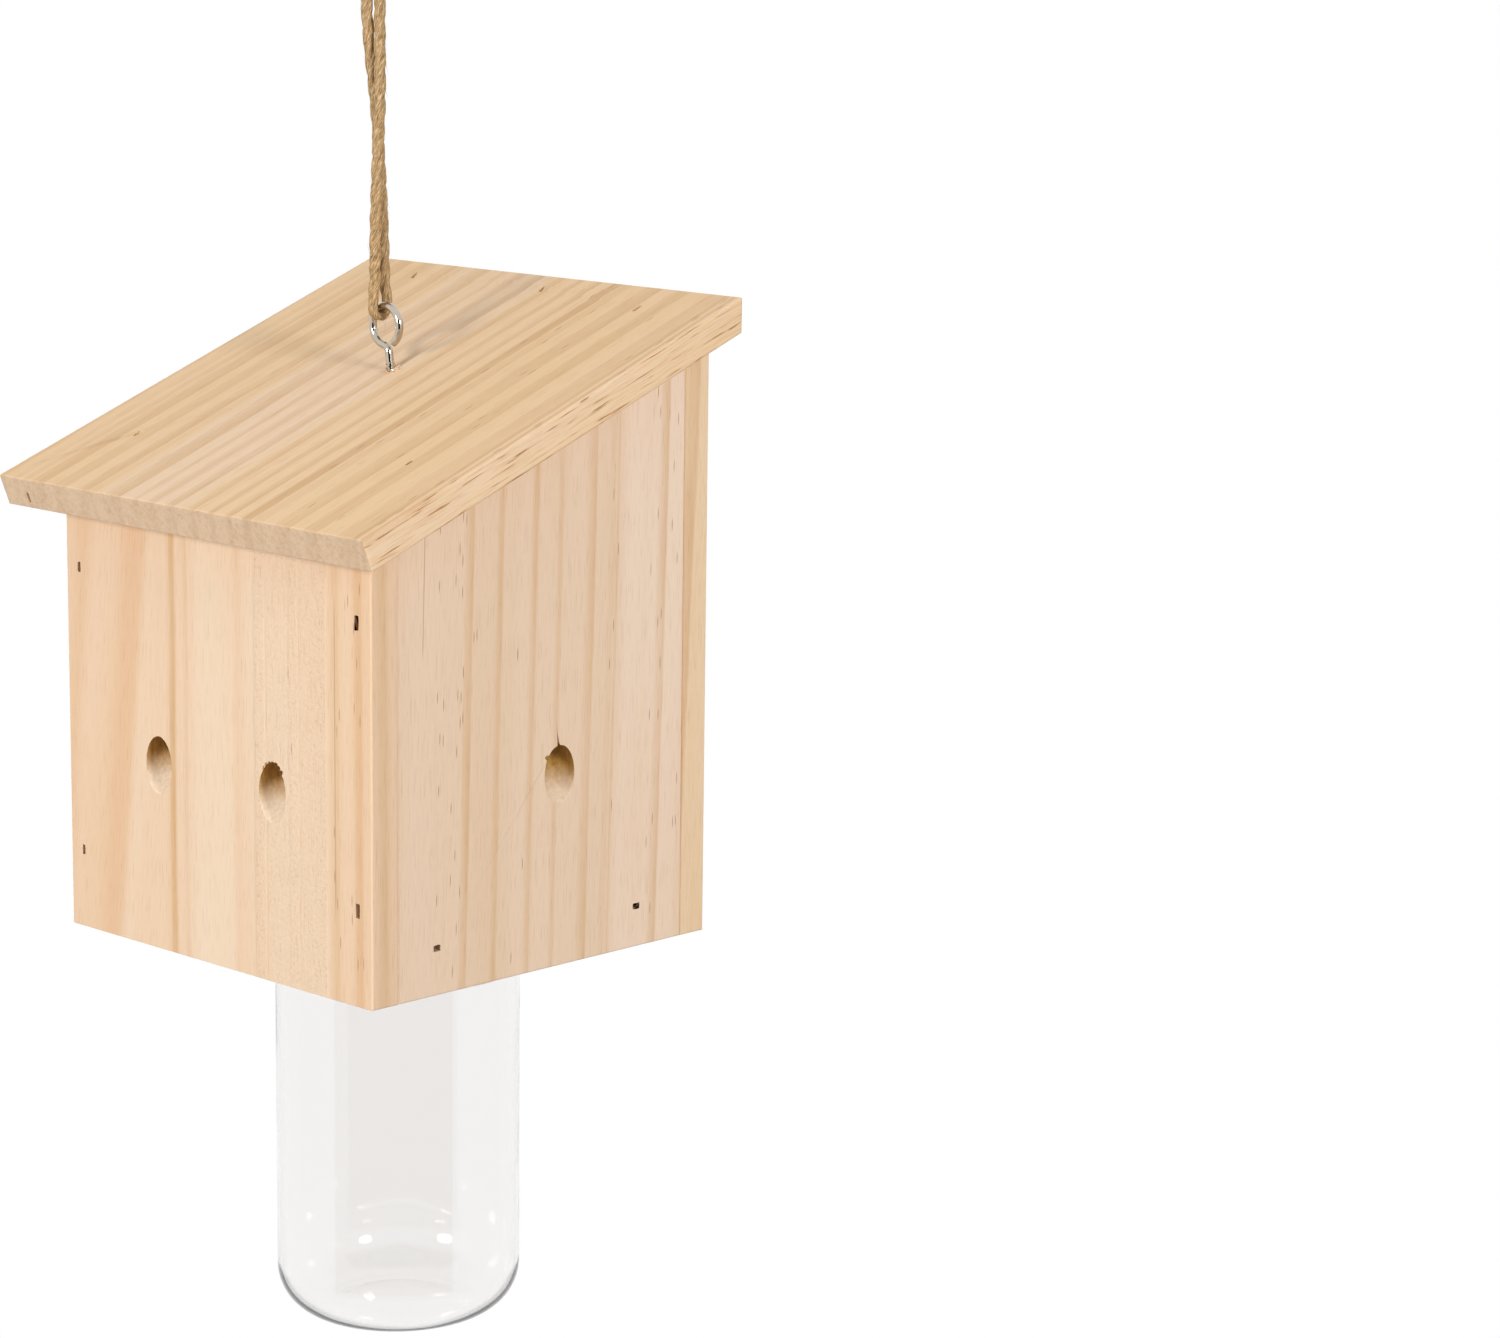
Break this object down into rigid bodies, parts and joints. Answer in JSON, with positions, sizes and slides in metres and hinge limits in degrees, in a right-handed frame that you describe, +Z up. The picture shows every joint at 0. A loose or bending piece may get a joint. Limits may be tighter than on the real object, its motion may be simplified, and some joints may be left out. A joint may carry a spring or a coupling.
{
  "type": "carpenter bee trap",
  "caption": "Hanging wooden carpenter bee trap with a sloping roof, angled entry tunnels, a screw eye on doubled twine, and a clear screw jar under the floor.",
  "frame": {"origin": "where a hook bears, in the fork of the doubled twine just under its knot", "axes": "+Z up; +Y towards the back, the high side of the roof; +X to the right as seen from the front"},
  "size_m": [0.167, 0.1495, 0.4608],
  "materials": {
    "pine": "matte",
    "pine_front": "matte",
    "pine_side": "matte",
    "brad_wire": "matte",
    "bright_steel": "gloss",
    "lid_plastic": "satin",
    "liner_foam": "matte",
    "clear_plastic": "gloss",
    "jute": "matte"
  },
  "bodies": {
    "twine": {"twine_legs": "jute", "twine_knot": "jute"},
    "house": {"roof_board": "pine", "front_panel": "pine_front", "back_panel": "pine", "left_side": "pine_side", "right_side": "pine_side", "floor_board": "pine", "front_brad_1": "brad_wire", "front_brad_2": "brad_wire", "front_brad_3": "brad_wire", "front_brad_4": "brad_wire", "back_brad_1": "brad_wire", "back_brad_2": "brad_wire", "back_brad_3": "brad_wire", "back_brad_4": "brad_wire", "left_floor_brad_1": "brad_wire", "left_floor_brad_2": "brad_wire", "right_floor_brad_1": "brad_wire", "right_floor_brad_2": "brad_wire", "roof_brad_1": "brad_wire", "roof_brad_2": "brad_wire", "roof_brad_3": "brad_wire", "roof_brad_4": "brad_wire", "screw_eye": "bright_steel", "jar_lid": "lid_plastic", "lid_screw_1": "bright_steel", "lid_screw_2": "bright_steel", "lid_screw_3": "bright_steel"},
    "liner": {"lid_liner": "liner_foam"},
    "jar": {"jar": "clear_plastic"}
  },
  "joints": [
    {"name": "house_swing", "type": "hinge", "parent": "twine", "child": "house", "pos_m": [0.002, 0.0022, -0.114], "axis": [1, 0, 0], "range_deg": [-35, 35]},
    {"name": "jar_drop", "type": "slide", "parent": "house", "child": "liner", "axis": [0, 0, -1], "range_m": [0, 0.0053]},
    {"name": "jar_unscrew", "type": "hinge", "parent": "liner", "child": "jar", "pos_m": [0.00661, 0.0014, -0.3], "axis": [0, 0, -1], "range_deg": [0, 450]}
  ],
  "couplings": [
    {"joint": "jar_drop", "follows": "jar_unscrew", "m_per_rad": 0.000673}
  ]
}
